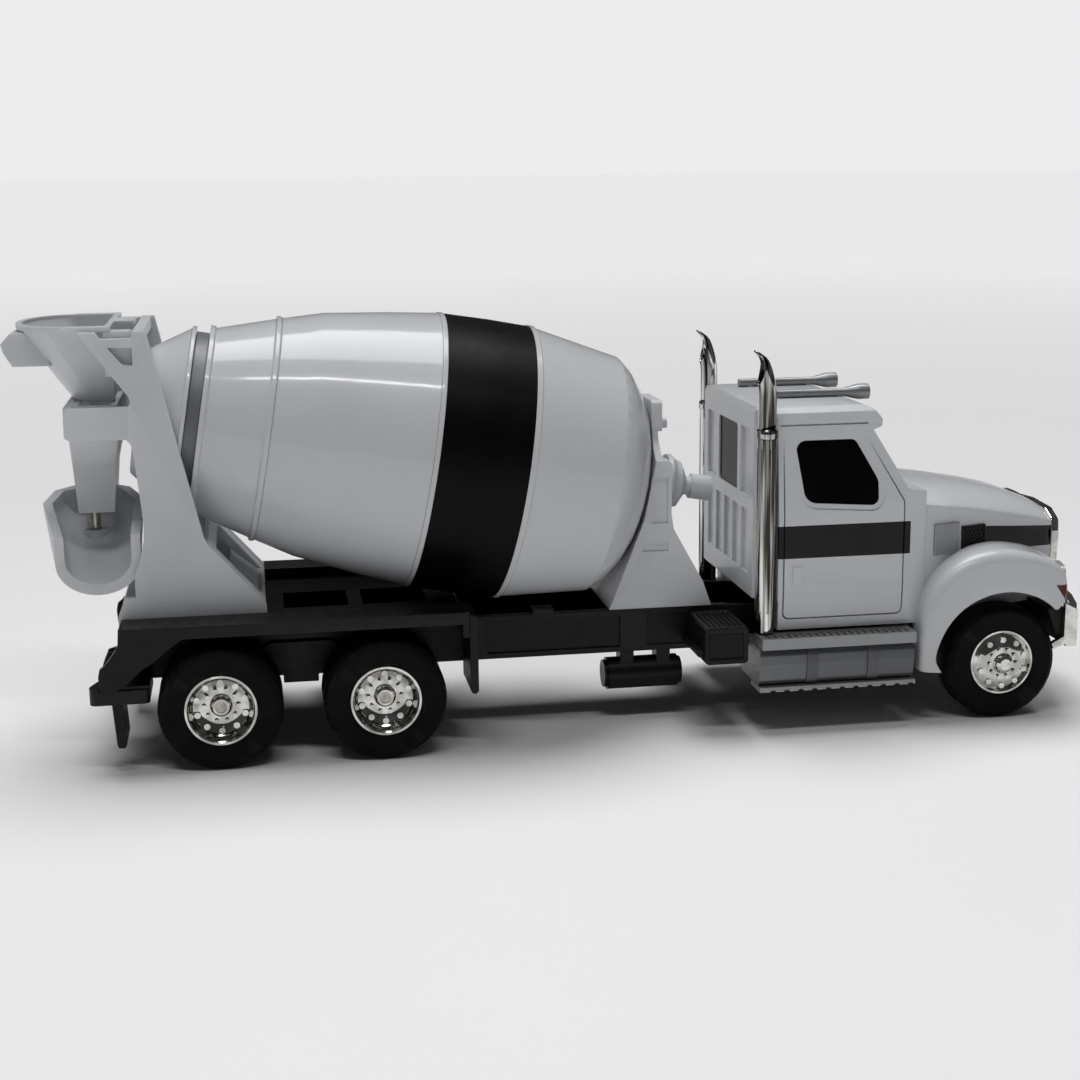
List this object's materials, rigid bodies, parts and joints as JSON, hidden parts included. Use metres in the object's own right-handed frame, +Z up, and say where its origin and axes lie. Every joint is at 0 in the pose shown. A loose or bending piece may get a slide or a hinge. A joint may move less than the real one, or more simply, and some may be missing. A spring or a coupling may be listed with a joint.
{
  "type": "toy cement mixer truck",
  "caption": "Toy concrete mixer truck with a turning drum, open hopper, swinging discharge chute, long-nose cab and free-rolling wheel sets.",
  "frame": {"origin": "on the ground under the middle of the overall length and width", "axes": "+X the direction of travel, +Y the truck's left, +Z up"},
  "size_m": [0.3026, 0.078, 0.1171],
  "materials": {
    "gloss_white": "glossy moulded plastic",
    "milky_white": "satin, slightly see-through moulded plastic",
    "satin_black": "satin moulded plastic",
    "band_black": "satin painted band",
    "window_black": "glossy opaque plastic",
    "chrome": "chrome plated plastic",
    "silver": "silver painted plastic",
    "steel": "bare steel",
    "grey": "satin",
    "lamp_clear": "clear coated",
    "amber": "painted",
    "tyre_black": "matt rubber"
  },
  "bodies": {
    "chassis": {"chassis_frame": "satin_black", "rear_deck": "satin_black", "rear_step": "satin_black", "tow_hitch": "satin_black", "rear_mud_flaps": "satin_black", "middle_mud_flaps": "satin_black", "rear_suspension": "satin_black", "front_axle_beam": "satin_black", "battery_boxes": "satin_black", "air_tank": "satin_black", "air_tank_bracket": "satin_black", "chassis_screws": "steel", "cab_shell": "gloss_white", "window_insert": "window_black", "hood": "gloss_white", "front_fenders": "gloss_white", "hood_vents": "satin_black", "side_plates": "silver", "grille_surround": "chrome", "grille_bars": "satin_black", "headlights": "lamp_clear", "marker_lenses": "amber", "front_bumper": "chrome", "roof_horns": "silver", "exhaust_pipes": "chrome", "exhaust_shields": "chrome", "fuel_tanks": "silver", "tank_straps": "silver", "tank_steps": "silver", "front_pedestal": "milky_white", "gearbox": "milky_white", "drive_motor": "milky_white", "rear_pedestal": "milky_white", "hopper": "milky_white", "downspout": "milky_white", "chute_pin": "steel"},
    "drum": {"drum_rear_shell": "gloss_white", "drum_track_ring": "grey", "drum_band_shell": "band_black", "drum_front_shell": "gloss_white"},
    "chute": {"chute": "milky_white"},
    "front_wheelset": {"front_tyres": "tyre_black", "front_rims": "chrome", "front_axle": "steel"},
    "rear_wheelset_1": {"rear_tyres_1": "tyre_black", "rear_rims_1": "chrome", "rear_axle_1": "steel"},
    "rear_wheelset_2": {"rear_tyres_2": "tyre_black", "rear_rims_2": "chrome", "rear_axle_2": "steel"}
  },
  "joints": [
    {"name": "drum_spin", "type": "hinge", "parent": "chassis", "child": "drum", "pos_m": [-0.09875, 0, 0.0882], "axis": [0.9854, 0, -0.1702], "continuous": true},
    {"name": "chute_swing", "type": "hinge", "parent": "chassis", "child": "chute", "pos_m": [-0.13115, 0, 0.06], "axis": [0, 0, -1], "range_deg": [0, 190]},
    {"name": "front_wheel_spin", "type": "hinge", "parent": "chassis", "child": "front_wheelset", "pos_m": [0.12005, 0, 0.0165], "axis": [0, 1, 0], "continuous": true},
    {"name": "rear_wheel_spin_1", "type": "hinge", "parent": "chassis", "child": "rear_wheelset_1", "pos_m": [-0.09875, 0, 0.0165], "axis": [0, 1, 0], "continuous": true},
    {"name": "rear_wheel_spin_2", "type": "hinge", "parent": "chassis", "child": "rear_wheelset_2", "pos_m": [-0.05515, 0, 0.0165], "axis": [0, 1, 0], "continuous": true}
  ]
}
